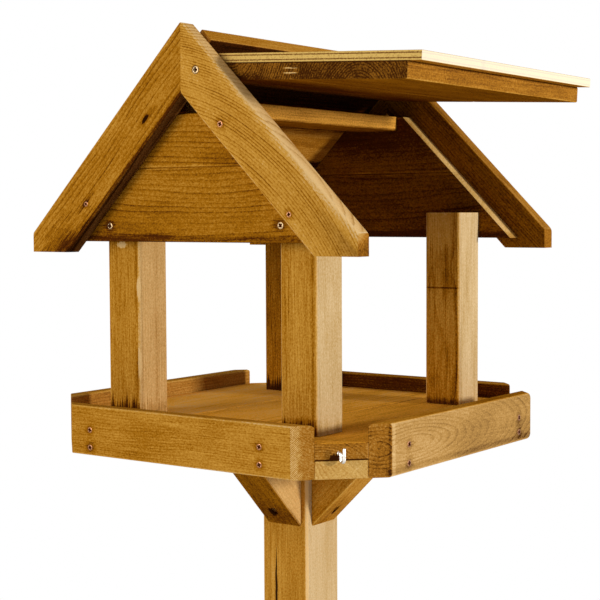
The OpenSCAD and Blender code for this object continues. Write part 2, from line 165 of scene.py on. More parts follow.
class Finish:
    """One material and the nodes in it."""

    def __init__(self, name):
        self.material = bpy.data.materials.new(name)
        self.material.use_nodes = True
        self.tree = self.material.node_tree
        self.tree.nodes.clear()

    def node(self, kind, settings=None, inputs=None, output=0):
        """Adds a node: its settings first, then the values or links of its sockets."""
        made = self.tree.nodes.new(kind)
        for name, value in (settings or {}).items():
            setattr(made, name, value)
        for name, value in (inputs or {}).items():
            if isinstance(value, Port):
                self.tree.links.new(value.socket, made.inputs[name])
            else:
                made.inputs[name].default_value = value
        return Port(self, made.outputs[output])

    def math(self, operation, *values):
        return self.node("ShaderNodeMath", {"operation": operation}, dict(enumerate(values)))

    def vector(self, operation, *values, output=0):
        settings = {"operation": operation}
        return self.node("ShaderNodeVectorMath", settings, dict(enumerate(values)), output)

    def split(self, vector):
        made = self.node("ShaderNodeSeparateXYZ", None, {0: vector}).socket.node
        return [Port(self, socket) for socket in made.outputs]

    def join(self, x, y, z):
        return self.node("ShaderNodeCombineXYZ", None, {0: x, 1: y, 2: z})

    def noise(self, vector, detail=2.0, roughness=0.5):
        """Smooth noise about 0, from -1 to 1 at most, one cell to a unit."""
        inputs = {"Vector": vector, "Scale": 1.0, "Detail": detail, "Roughness": roughness}
        return self.node("ShaderNodeTexNoise", {"normalize": False}, inputs)

    def rise(self, value, low, high):
        """0 below low and 1 above high, with a smooth step between. low may be the larger."""
        settings = {"interpolation_type": "SMOOTHSTEP"}
        if isinstance(low, (int, float)) and low > high:
            inputs = {0: value, 1: high, 2: low, 3: 1.0, 4: 0.0}
        else:
            inputs = {0: value, 1: low, 2: high, 3: 0.0, 4: 1.0}
        return self.node("ShaderNodeMapRange", settings, inputs)

    def least(self, first, second):
        return self.math("MINIMUM", first, second)

    def most(self, first, second):
        return self.math("MAXIMUM", first, second)

    def clamp(self, value):
        return self.node("ShaderNodeClamp", None, {0: value})

    def mix(self, share, first, second):
        """A colour between two: share 0 is the first."""
        inputs = {0: share, 6: first, 7: second}
        return self.node("ShaderNodeMix", {"data_type": "RGBA"}, inputs, 2)

    def ramp(self, share, first, middle, last):
        """A colour through three: share 0 is the first, a half the middle one, 1 the last."""
        lower = self.mix(self.clamp(share * 2), (*first, 1), (*middle, 1))
        return self.mix(self.clamp(share * 2 - 1), lower, (*last, 1))

    def surface(self, colour, roughness, bump=None, **fixed):
        """Ends the material in a Principled shader."""
        inputs = {"Base Color": colour, "Roughness": roughness}
        if bump is not None:
            height, strength = bump
            inputs["Normal"] = self.node(
                "ShaderNodeBump", None, {"Strength": strength, "Distance": MM, "Height": height}
            )
        inputs.update({name.replace("_", " "): value for name, value in fixed.items()})
        shader = self.node("ShaderNodeBsdfPrincipled", None, inputs)
        made = self.tree.nodes.new("ShaderNodeOutputMaterial")
        self.tree.links.new(shader.socket, made.inputs["Surface"])
        return self.material


# ---- boards ----


class Board:
    """A board's own axes in millimetres from its middle: u along the grain, v across, w out of its face."""

    def __init__(self, node, along, out):
        along, out = along.normalized(), out.normalized()
        across = out.cross(along)
        self.axes = (along, across, out)
        corners = [v.co for v in NODES[node].data.vertices]
        spans = [sorted(axis.dot(c) for c in corners) for axis in self.axes]
        middle = [(s[0] + s[-1]) / 2 for s in spans]
        self.half = [(s[-1] - s[0]) / 2 / MM for s in spans]
        self.middle = sum((axis * m for axis, m in zip(self.axes, middle)), Vector())
        self.turn = Matrix(self.axes).transposed().to_euler()

    def place(self, u, v, w):
        """The point at u, v, w."""
        offset = sum((axis * k * MM for axis, k in zip(self.axes, (u, v, w))), Vector())
        return self.middle + offset

    def at(self, point):
        """The u, v, w of a point."""
        return [axis.dot(Vector(point) - self.middle) / MM for axis in self.axes]


def screw_places(node, board):
    """Where a board's screws go: u, v and the head's size."""
    across = X if abs(board.axes[2].y) > 0.5 else Y
    for run, rise, size in SCREWS.get(node, ()):
        u, v, _ = board.at(across * (run * MM) + Z * (DECK + rise * MM))
        yield u, v, size


def patch(centre, size, strength, soft=0.5, ragged=0.4):
    """A soft-edged patch of deeper stain, or paler if negative: its centre and its reach, where 0 is any."""
    return {"centre": centre, "size": size, "strength": strength, "soft": soft, "ragged": ragged}


def timber(
    name, board, seed, pith=(60, 40), ring=3.0, tilt=0.0, dive=0.0, bend=0.0, wave=1.0, tone=0.4, grain=0.24,
    bleach=0.9, back=0.0, edge=0.1, worn=0.3, end=0.5, end_grain=0.4, fibre=0.16, cloud=0.14, foot=0.0,
    light=None, ticks=0.0, plies=False, patches=(), cracks=(),
):
    """Stained softwood.

    Growth rings lie round a pith line, given by v and w in the middle of the board: ring is their width
    in millimetres, tilt and dive lean the line, bend bows it and wave makes the rings wander. The depth of
    stain runs from 0 to 1: tone is its middle, and grain, fibre and cloud are what rings, fibres and clouds
    add to it. back, edge and worn change it on the board's back, along its edges and on its
    arrises: the back gets painted shade, and the arrises are paled partly for wear and partly as a painted
    highlight. bleach paints the sides that face along X paler, as if lit, end and end_grain set
    the cut ends, foot is the height of a wet foot in millimetres, and ticks are saw marks on the ends.
    light is another colour for thin stain, and plies shows plywood's layers at the edges. A crack has its
    middle's u and v, half its length, half its width and how far it wanders.
    """
    stain = bpy.context.scene.bird_table_timber
    f = Finish(name)
    inputs = {
        "Vector": f.node("ShaderNodeTexCoord", output="Object"),
        "Location": board.middle,
        "Rotation": board.turn,
        "Scale": (MM, MM, MM),
    }
    p = f.node("ShaderNodeMapping", {"vector_type": "TEXTURE"}, inputs)
    here = f.split(p)
    u, v, w = here
    normal = f.node("ShaderNodeTexCoord", output="Normal")
    towards = [f.vector("DOT_PRODUCT", normal, axis, output=1) for axis in board.axes]

    def cells(along, across, shift):
        """The board's coordinates in cells of noise, longer along the grain."""
        scaled = f.vector("MULTIPLY", p, (1 / along, 1 / across, 1 / across))
        return f.vector("ADD", scaled, (seed * 7.3 + shift, seed * 3.1, shift * 2.7))

    # Growth rings: each darkens slowly and ends in a thin line of late wood
    wander = f.noise(cells(200, 40, 0), 1.0)
    ripple = f.noise(cells(30, 6, 5), 2.0)
    a = v - pith[0] - tilt * u - (bend * MM) * (u * u)
    b = w - pith[1] - (0.4 * tilt + dive) * u
    swell = wander * (3.0 * wave) + ripple * (0.35 * wave)
    turns = (f.math("SQRT", a * a + b * b) + swell) / ring
    phase = f.math("FRACT", turns)
    each = f.node(
        "ShaderNodeTexWhiteNoise", {"noise_dimensions": "1D"},
        {"W": f.math("FLOOR", turns) + seed * 11.0}, "Value",
    )
    clouds = f.noise(cells(90, 22, 14), 3.0, 0.55)
    late = phase**3.2 * f.rise(phase, 1.0, 0.86) * (each * 1.1 + 0.35) * (clouds * 0.5 + 1)

    # Specks and patches
    threads = f.noise(cells(36, 1.0, 9), 2.0, 0.6)
    specks = f.noise(f.vector("MULTIPLY", p, (0.45, 0.6, 0.6)), 3.0, 0.75)
    marks = specks * SPECK
    for one in patches:
        away = None
        for k, centre, size in zip(here, one["centre"], one["size"]):
            if size:
                square = ((k - centre) / size) ** 2
                away = square if away is None else away + square
        away = f.math("SQRT", away) + (threads + ripple * 0.6) * one["ragged"]
        marks = marks + f.rise(away, 1 + one["soft"], 1 - one["soft"]) * one["strength"]

    # Stain lies thinner on arrises, and they are paler still: partly wear and partly a painted highlight
    # where a rounded arris catches the light. The middle one of the three distances to the faces is that to
    # an edge
    du, dv, dw = [half - abs(k) for half, k in zip(board.half, here)]
    nearest = f.most(f.least(du, dv), f.least(f.most(du, dv), dw))
    arris = f.rise(f.most(f.most(abs(towards[1]), abs(towards[2])), abs(towards[0]) * 1.2), 0.97, 0.8)
    depth = marks + late * grain + threads * fibre + clouds * cloud + (tone - LATE * grain)
    depth = depth - f.rise(nearest + ripple * 1.5, 3.0, 0.5) * edge - arris * worn
    # Painted shade on the board's back, the face turned inwards or against another part
    if back:
        depth = depth + f.rise(towards[2], -0.4, -0.8) * back
    sideways = f.rise(abs(f.split(normal)[0]), 0.5, 0.95)
    if foot:
        streaks = f.noise(f.vector("MULTIPLY", p, (0.01, 0.42, 0.42)), 1.0)
        wet = f.rise(u + board.half[0] - foot * (streaks * 0.7 + 0.6), 8.0, -5.0)
        depth = depth + wet * (0.9 - sideways * 0.5)

    # Colours of the sides: the two that face along X are painted paler, a painted light for the strong light
    # from the side
    bare = (*stain.bare, 1)
    lit = sideways * bleach
    other_sides = f.ramp(depth, light or stain.light, stain.middle, stain.deep)
    pale = f.ramp(depth * 0.7 + 0.3 * tone, stain.pale_light, stain.pale_middle, stain.pale_deep)
    colour = f.mix(lit, other_sides, pale)
    # Where the depth falls below 0 the colour goes to bare wood: on worn arrises, and where a highlight or a
    # pool of light is painted
    colour = f.mix(f.rise(depth, 0.0, -0.45), colour, bare)
    colour = f.mix(f.rise(depth, 1.0, 1.6), colour, (*stain.soaked, 1))

    # Cut ends
    cut = late * end_grain + marks + clouds * 0.12 + (end - LATE * end_grain) - arris * (0.6 * worn)
    if ticks:
        stripe = abs(f.math("FRACT", (v + w * 1.3 + ripple * 0.5) / 1.9) - 0.5)
        near_face = f.rise(w + ripple * 3.0, board.half[2] - 8.0, board.half[2] - 4.0)
        cut = cut - near_face * f.rise(stripe, 0.2, 0.34) * ticks
    sawn = f.ramp(cut, stain.end_light, stain.end_middle, stain.end_deep)
    sawn = f.mix(f.rise(cut, 0.0, -0.3), sawn, bare)
    colour = f.mix(f.rise(abs(towards[0]), 0.3, 0.5), colour, sawn)
    if plies:
        layer = abs(w) / board.half[2] + threads * 0.05
        brown = f.rise(layer, 0.34, 0.42) * f.rise(layer, 0.68, 0.6)
        ply = f.mix(f.clamp(brown + specks * 0.3 + marks), (*stain.ply_light, 1), (*stain.ply_deep, 1))
        # The plywood's sides that face along X are painted paler too, as if lit
        ply = f.mix(lit * 0.8, ply, (*stain.ply_pale, 1))
        colour = f.mix(f.rise(abs(towards[2]), 0.6, 0.4), colour, ply)
    for cu, cv, long, wide, shake in cracks:
        line = abs(v - cv + f.noise(f.join(u * 0.03, 0.0, seed * 1.0), 3.0) * shake)
        taper = f.rise(abs(u - cu), long, long * 0.4)
        gap = f.rise(line / (taper * wide + 0.01), 1.0, 0.5) * f.rise(towards[2], 0.5, 0.8)
        colour = f.mix(gap, colour, (*stain.crack, 1))
    height = threads * 0.4 + specks * 0.3 - late * 0.35
    rough = f.clamp(stain.roughness + specks * 0.12 - late * 0.1)
    return f.surface(colour, rough, (height, stain.relief), Specular_IOR_Level=stain.shine)


# ---- pieces ----


def ease_edges(obj, width, segments, weighted=False):
    """Rounds an object's sharp edges, or only its weighted ones, with a modifier."""
    ease = obj.modifiers.new("ease", "BEVEL")
    ease.width = width * MM
    ease.segments = segments
    ease.limit_method = "WEIGHT" if weighted else "ANGLE"
    ease.angle_limit = SHARP
    ease.use_clamp_overlap = True


def join_corners(obj, reach):
    """Joins an object's corners that lie within reach of each other, with a modifier."""
    weld = obj.modifiers.new("join", "WELD")
    weld.merge_threshold = reach


def sharpen(node, width):
    """Joins a CAD node's loose triangles and eases its sharp edges, with modifiers only."""
    obj = NODES[node]
    join_corners(obj, SAME_PLACE)
    flat = obj.modifiers.new("flat", "DECIMATE")
    flat.decimate_type = "DISSOLVE"
    flat.angle_limit = FLAT
    ease_edges(obj, width, 2)


def dress(node, material):
    """Gives a CAD node its material."""
    obj = NODES[node]
    obj.data.materials.clear()
    obj.data.materials.append(material)


def halos(node, board):
    """Darker stain round a board's screws."""
    return [patch((u, v, board.half[2]), (size * 0.95, size * 0.85, 4), 0.4, soft=0.6, ragged=0.8)
            for u, v, size in screw_places(node, board)]


def wood(node, along, out, patches=(), **looks):
    """A board's timber, with its screws' halos."""
    board = BOARDS[node] = Board(node, along, out)
    return timber(node + "_timber", board, patches=[*patches, *halos(node, board)], **looks)


def finish_timber(node, along, out, **looks):
    dress(node, wood(node, along, out, **looks))
    sharpen(node, bpy.context.scene.bird_table_timber.ease)


def make_piece(name, bm, body, materials, replaced=()):
    """Turns a finished mesh into a piece that rides on a body."""
    mesh = bpy.data.meshes.new(name)
    bm.to_mesh(mesh)
    bm.free()
    for material in materials:
        mesh.materials.append(material)
    obj = bpy.data.objects.new(name, mesh)
    bpy.context.scene.collection.objects.link(obj)
    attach(obj, body)
    if replaced:
        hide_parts(*replaced)
    return obj


def round_bargeboard(node, along, out, **looks):
    """Stands a board with rounded front arrises and tail for a bargeboard; its mitre stays tight."""
    size = bpy.context.scene.bird_table_timber
    near = 0.5  # an edge this close to a face or to the mitre lies on it, in millimetres
    seat = 6  # and one this close to the pivot's line belongs to the screw's hole
    board = Board(node, along, out)
    bm = bmesh.new()
    bm.from_mesh(NODES[node].data)
    bmesh.ops.remove_doubles(bm, verts=bm.verts, dist=SAME_PLACE)
    bmesh.ops.dissolve_limit(bm, angle_limit=FLAT, verts=bm.verts, edges=bm.edges)
    weight = bm.edges.layers.float.new("bevel_weight_edge")
    upper = OUT_RIGHT if board.middle.x > 0 else OUT_LEFT
    # Shares of the full rounding: the upper edge's and the rest's; the left boards are rounded less
    high, low = (1.0, 0.35) if board.middle.x > 0 else (0.22, 0.22)
    for edge in bm.edges:
        ends = [v.co for v in edge.verts]
        middle = (ends[0] + ends[1]) / 2
        front = max(board.at(c)[2] for c in ends) > board.half[2] - near
        mitre = max(abs(c.x) for c in ends) < near * MM
        hole = max((c - PIVOT).dot(c - PIVOT) - (c.y - PIVOT.y) ** 2 for c in ends) < (seat * MM) ** 2
        sharp = edge.calc_face_angle(0) > SHARP
        if sharp and front and not mitre and not hole:
            edge[weight] = high if upper.dot(middle - board.middle) > 0 else low
        elif sharp:
            edge.smooth = False
    for face in bm.faces:
        face.smooth = True
    name = node.split("_")
    piece = make_piece(
        f"{name[1]}_{name[2]}_bargeboard", bm, "table", [wood(node, along, out, **looks)], [node]
    )
    ease_edges(piece, size.round_over, 6, weighted=True)
    piece.modifiers["ease"].harden_normals = True
    join_corners(piece, 2 * SAME_PLACE)


def drawn(bm, edges, step, spread=(1, 1, 1)):
    """Extrudes a ring of edges along a step, spread about its own middle; returns the new ring."""
    ring = bmesh.ops.extrude_edge_only(bm, edges=edges)["geom"]
    verts = [g for g in ring if isinstance(g, bmesh.types.BMVert)]
    middle = sum((vert.co for vert in verts), Vector()) / len(verts)
    bmesh.ops.scale(bm, vec=spread, verts=verts, space=Matrix.Translation(-middle))
    bmesh.ops.translate(bm, vec=step, verts=verts)
    return [g for g in ring if isinstance(g, bmesh.types.BMEdge)]


def add_part(bm, part, place, axes):
    """Stands a part made in millimetres on its axes at a place, and adds it to a mesh."""
    stand = Matrix.Translation(place) @ Matrix(axes).transposed().to_4x4() @ Matrix.Diagonal((MM, MM, MM, 1))
    bmesh.ops.transform(part, matrix=stand, verts=part.verts)
    loose = bpy.data.meshes.new("one_part")
    part.to_mesh(loose)
    part.free()
    bm.from_mesh(loose)
    bpy.data.meshes.remove(loose)


def screw_head(bm, place, out, turn, size, shank=0.0, shank_size=0.0):
    """Adds a countersunk head with a cross recess, flush at the place, and its shank back into the wood."""
    head = bmesh.new()
    radius = size / 2
    top = 0.86  # the flat top's share of the radius, inside the rounded rim
    bmesh.ops.create_circle(head, cap_ends=True, segments=20, radius=top * radius)
    arm, slot = 0.72 * radius, 0.3 * radius
    for axis in (X, Y):
        for reach in (-arm, -slot, slot, arm):
            geom = head.verts[:] + head.edges[:] + head.faces[:]
            bmesh.ops.bisect_plane(head, geom=geom, plane_co=axis * reach, plane_no=axis)
    cross = []
    for face in head.faces:
        centre = face.calc_center_median()
        near, far = sorted((abs(centre.x), abs(centre.y)))
        if near < slot and far < arm:
            cross.append(face)
    rim = [e for e in head.edges if e.is_boundary]
    depth = 0.45 * radius if shank else 0.15  # a flat head's recess ends above the wood that it sits on
    walls = bmesh.ops.inset_region(head, faces=cross, thickness=0.02 * radius, depth=-depth)["faces"]
    recess = set(cross + walls)
    steps = [(1 / top, 0.12), (1, 0.1)]
    if shank:
        steps += [(shank_size / size, 0.5 * (size - shank_size)), (1, shank)]
    for spread, drop in steps:
        rim = drawn(head, rim, -Z * drop, (spread, spread, 1))
    bmesh.ops.contextual_create(head, geom=rim)
    for face in head.faces:
        face.material_index = 1 if face in recess else (2 if size < SMALL_HEAD else 0)
    bmesh.ops.recalc_face_normals(head, faces=head.faces)
    if cross[0].normal.z < 0:
        bmesh.ops.reverse_faces(head, faces=head.faces)
    side = Z.cross(out) if abs(out.z) < 0.9 else X.copy()
    side = (Matrix.Rotation(turn, 3, out) @ side).normalized()
    add_part(bm, head, place + out * (PROUD * MM), (side, out.cross(side), out))


def cup_hook(bm, place, out, wire, bend, drop, tip):
    """Adds a cup hook: collar, short neck, and a bend down, round and up to its tip."""
    hook = bmesh.new()

    def swept(edges, centre, angle):
        """Spins a ring of edges about Y."""
        geom = bmesh.ops.spin(
            hook, geom=edges, cent=centre, axis=Y, dvec=(0, 0, 0), angle=angle,
            steps=max(4, round(abs(angle) * 7)),
        )["geom_last"]
        return [g for g in geom if isinstance(g, bmesh.types.BMEdge)]

    shoulder, neck = 0.6 * wire, 0.3
    flange, eased = 0.62 * wire, 0.85  # the collar's radius, and how far its rim narrows first
    collar, lip = 0.9, 0.35  # the collar's depth, and that of its two narrowing steps
    start = Matrix.Rotation(math.radians(90), 4, "Y")
    verts = bmesh.ops.create_circle(
        hook, cap_ends=True, segments=14, radius=flange, matrix=start
    )["verts"]
    edges = list({e for v in verts for e in v.link_edges})
    edges = drawn(hook, edges, X * collar)
    edges = drawn(hook, edges, X * 0.25, (eased,) * 3)
    edges = drawn(hook, edges, X * 0.1, (0.5 * wire / (flange * eased),) * 3)
    edges = drawn(hook, edges, X * neck)
    here = Vector((collar + lip + neck, 0, 0))
    edges = swept(edges, here - Z * shoulder, math.radians(90))
    here += Vector((shoulder, 0, -shoulder))
    run = drop - 0.5 * wire - bend - shoulder
    edges = drawn(hook, edges, -Z * run)
    here -= Z * run
    edges = swept(edges, here + X * bend, math.radians(-180))
    edges = drawn(hook, edges, Z * (tip - here.z - 0.35 * wire))
    edges = drawn(hook, edges, Z * (0.25 * wire), (0.85,) * 3)
    edges = drawn(hook, edges, Z * (0.1 * wire), (0.55,) * 3)
    bmesh.ops.contextual_create(hook, geom=edges)
    bmesh.ops.recalc_face_normals(hook, faces=hook.faces)
    for face in hook.faces:
        face.smooth = True
    add_part(bm, hook, place, (out, Z.cross(out), Z))


# ---- settings ----


def colour_property(name, description, default):
    return FloatVectorProperty(
        name=name, description=description, default=default, subtype="COLOR", min=0, max=1
    )


def length_property(name, description, default, low, high):
    return FloatProperty(
        name=name, description=description + ", in millimetres", default=default, min=low, max=high
    )


def angle_property(name, description, degrees):
    return FloatProperty(
        name=name, description=description, default=math.radians(degrees), subtype="ANGLE"
    )


def share_property(name, description, default):
    return FloatProperty(name=name, description=description, default=default, min=0, max=1)


class BIRDTABLE_PG_timber(bpy.types.PropertyGroup):
    # Bare wood also colours the painted highlights on arrises and the painted pools of light
    bare: colour_property("Worn arris", "Nearly bare wood on worn arrises", (0.74, 0.48, 0.2))
    light: colour_property("Thin stain", "Where the stain is thinnest", (0.62, 0.31, 0.045))
    middle: colour_property("Stain", "The usual stain", (0.36, 0.134, 0.004))
    deep: colour_property("Deep stain", "Where the stain is deepest", (0.085, 0.02, 0.002))
    # The pale colours paint the sides that face along X paler, as if strongly lit: painted light
    pale_light: colour_property("Pale thin stain", "The same on the weathered sides", (0.66, 0.5, 0.29))
    pale_middle: colour_property("Pale stain", "The same on the weathered sides", (0.46, 0.29, 0.1))
    pale_deep: colour_property("Pale deep stain", "The same on the weathered sides", (0.18, 0.08, 0.015))
    # A brighter thin stain for the tray's floor and the ridge batten: partly their own colour, partly painted
    # light
    lit_floor_stain: colour_property("Tray floor", "Thin stain on the tray's floor", (0.9, 0.4, 0.035))
    end_light: colour_property("Pale cut end", "Cut end that took little stain", (0.6, 0.36, 0.1))
    end_middle: colour_property("Cut end", "The usual cut end", (0.36, 0.14, 0.012))
    end_deep: colour_property("Deep cut end", "Cut end full of stain", (0.05, 0.013, 0.002))
    ply_light: colour_property("Plywood layer", "Pale layers in a plywood edge", (0.74, 0.48, 0.13))
    ply_deep: colour_property("Plywood cross layer", "Brown layers in a plywood edge", (0.2, 0.08, 0.015))
    # The pale plywood colour is painted light too, on the plywood's sides that face along X
    ply_pale: colour_property("Weathered plywood", "The same on the weathered sides", (0.93, 0.84, 0.66))
    soaked: colour_property("Soaked", "Where the stain has gathered", (0.022, 0.006, 0.001))
    crack: colour_property("Crack", "Inside a crack", (0.035, 0.012, 0.003))
    roughness: share_property("Roughness", "Roughness of the stain", 0.6)
    shine: share_property("Shine", "Specular level of the stain", 0.0)
    relief: share_property("Relief", "Depth of the grain", 0.25)
    ease: length_property("Eased edges", "Easing of the saw-cut edges", 0.7, 0, 2)
    round_over: length_property("Bargeboard edge", "Rounding of a bargeboard's upper edge", 7.0, 0, 8)


class BIRDTABLE_PG_metal(bpy.types.PropertyGroup):
    screw: colour_property("Screw heads", "Plated and a little tarnished", (0.42, 0.29, 0.15))
    small_screw: colour_property("Small screw heads", "Plated and more tarnished", (0.42, 0.19, 0.09))
    # Painted shade: the recess is near-black and without shine, for the shade inside it
    recess: colour_property("Recess", "Inside a screw's cross recess", (0.05, 0.01, 0.002))
    hook: colour_property("Cup hooks", "Plated wire", (0.86, 0.83, 0.76))
    pivot_head: length_property("Pivot screw head", "Diameter of the lid's pivot screws' heads", 7.0, 5, 10)
    pivot_shank: length_property("Pivot screw shank", "Diameter of their shanks", 4.5, 3, 6)
    hook_wire: length_property("Hook wire", "Diameter of a cup hook's wire", 3.2, 1, 5)
    hook_bend: length_property("Hook bend", "Radius of a cup hook's bend", 2.5, 2, 8)
    hook_drop: length_property("Hook drop", "How far the bend hangs below the neck", 9.2, 4, 15)
    hook_tip: length_property("Hook tip", "How far the tip stands above the neck", 5.6, 0, 8)
    hook_aside: length_property("Hook aside", "How far a hook stands aside of the frame's", 2.8, 0, 5)
    hook_low: length_property("Hook low", "How far a hook stands below the frame's", 1.0, 0, 2)
    hook_skew: angle_property("Hook turn", "How far a cup hook was screwed round", 27)


class BIRDTABLE_PG_studio(bpy.types.PropertyGroup):
    turn: angle_property("Camera turn", "Round the table from the front", 35.54)
    drop: angle_property("Camera drop", "Below level", 3.4)
    roll: angle_property("Camera roll", "Turn of the frame", -0.25)
    eye: FloatVectorProperty(
        name="Camera place", description="From the middle of the tray's floor",
        default=(0.90347, -1.26416, 0.20923), subtype="TRANSLATION", unit="LENGTH",
    )
    lens: length_property("Lens", "Focal length for a frame 36 wide", 87.04, 20, 300)
    front_power: FloatProperty(name="Front light", description="Power", default=34, min=0, unit="POWER")
    side_power: FloatProperty(name="Side light", description="Power", default=88, min=0, unit="POWER")
    ambient: share_property("Ambient", "Light from all round", 0.4)
    floor: colour_property("Floor", "Colour of the floor", (0.85, 0.85, 0.85))
    floor_radius: FloatProperty(
        name="Floor radius", description="Where the floor has faded out", default=3.0, min=1, unit="LENGTH"
    )


# ---- operators ----


class BIRDTABLE_OT_stand(bpy.types.Operator):
    """Finishes the main post, the feet and the braces"""

    bl_idname = "birdtable.stand"
    bl_label = "Stand"

    def execute(self, context):
        finish_timber(
            "main_post", Z, -Y, seed=1, pith=(70, 60), ring=5.0, tone=0.27, grain=0.14, worn=0.85, edge=0.16,
            cracks=[(306, 10.8, 92, 1.9, 1.2), (-150, -8, 60, 0.8, 1.5)],
            patches=[
                patch((330, 15.5, 30), (80, 1.8, 5), -0.16), patch((330, 6, 30), (90, 1.6, 5), -0.1),
                # Painted shade at the top of the front face, under the tray
                patch((498, 0, 30), (26, 40, 8), 0.3),
            ],
        )
        finish_timber("foot_across", X, -Y, seed=2, tone=0.4, pith=(-60, 50))
        finish_timber("foot_along", Y, X, seed=3, tone=0.4, pith=(-50, 60))
        for n, (where, turn) in enumerate((("right", 0), ("rear", 90), ("left", 180), ("front", 270))):
            spin = Matrix.Rotation(math.radians(turn), 3, "Z")
            out = spin @ -Y
            front = where == "front"
            # Painted shading along a brace's underside: darker on the front brace, a little paler on the
            # others
            underside_shading = patch((0, -22, 0), (0, 1.4, 0), 0.6 if front else -0.08, soft=0.2, ragged=0.1)
            finish_timber(
                f"tray_brace_{where}", spin @ OUT_RIGHT, out, seed=10 + n, pith=(50, 40), ring=4.5,
                tone=0.12 if front else 0.44, grain=0.22, bleach=0.35 if front else 0.2,
                patches=[
                    underside_shading, patch((-42, -22, 0), (22, 6, 30), 0.22, ragged=0.8),
                    # Painted shade in the brace's sunk hole round the screw's head
                    patch((-40, -22, 4 if front else 0), (6.5, 4, 3.2), 0.9, soft=0.3, ragged=0.3),
                ],
            )
            finish_timber(
                f"foot_brace_{where}", spin @ -DOWN_RIGHT, out, seed=20 + n, pith=(50, 30), tone=0.38,
            )
        return {"FINISHED"}


class BIRDTABLE_OT_tray(bpy.types.Operator):
    """Finishes the floor boards, the bearers and the rails"""

    bl_idname = "birdtable.tray"
    bl_label = "Tray"

    def execute(self, context):
        # The floor's thin stain is brighter, partly painted light
        thin = tuple(context.scene.bird_table_timber.lit_floor_stain)
        seam = patch((0, 0, -8), (0, 0, 1.3), 0.9, soft=0.3, ragged=0.2)
        # Painted shadow of the cup hook on the floor board's cut end
        hook_shadow = patch((-178.5, -41, -5), (5, 4, 3), 0.9, soft=0.4)
        for n, (where, tone, patches) in enumerate((
            ("left", -0.05, [seam]), ("middle", 0.02, [seam]), ("right", 0.14, [seam, hook_shadow]),
        )):
            finish_timber(
                f"floor_board_{where}", Y, Z, seed=30 + n, pith=(-30, -28), ring=2.2, tone=tone, grain=0.36,
                end=0.46, end_grain=0.4, bleach=0.3, worn=-0.3, edge=-0.12, light=thin, patches=patches,
            )
        for n, where in enumerate(("front", "middle", "rear")):
            finish_timber(
                f"bearer_{where}", X, Z, seed=40 + n, pith=(20, 30), tone=0.35, end=0.27, end_grain=0.2,
            )
        rail = {"grain": 0.26, "wave": 1.4}
        finish_timber(
            "rail_front", X, -Y, seed=50, pith=(60, -55), ring=1.7, tone=0.4, worn=0.35,
            end=0.72, end_grain=0.22, back=0.45, ticks=0.55, **rail,
            patches=[patch((95, 0, 8), (70, 50, 8), -0.12, soft=0.8)],
        )
        finish_timber(
            "rail_right", Y, X, seed=51, pith=(2, 30.7), dive=0.21, ring=3.1, tone=0.42, grain=0.34, end=0.76,
            end_grain=0.4, bleach=0.58, back=0.45, wave=0.9,
            patches=[
                patch((80, 0, 8), (110, 40, 8), 0.24), patch((-142, 0, 6.6), (1.6, 0, 1.0), 0.2, soft=0.5),
                # The first patch here is a painted highlight along the arris at the cut end
                patch((-137, 0, 8), (2.6, 0, 2), -0.3), patch((0, -20, 8), (0, 2.5, 4), 0.25),
                patch((113, -14, 8), (20, 13, 4), 0.06, soft=0.8, ragged=0.8),
            ],
        )
        finish_timber(
            "rail_rear", -X, Y, seed=52, pith=(80, -45), ring=2.8, tone=0.42, end=0.3, back=0.62, **rail,
        )
        finish_timber(
            "rail_left", -Y, -X, seed=53, pith=(80, 40), ring=2.8, tone=0.36, end=0.4, bleach=0.15, back=0.14,
            **rail,
        )
        return {"FINISHED"}


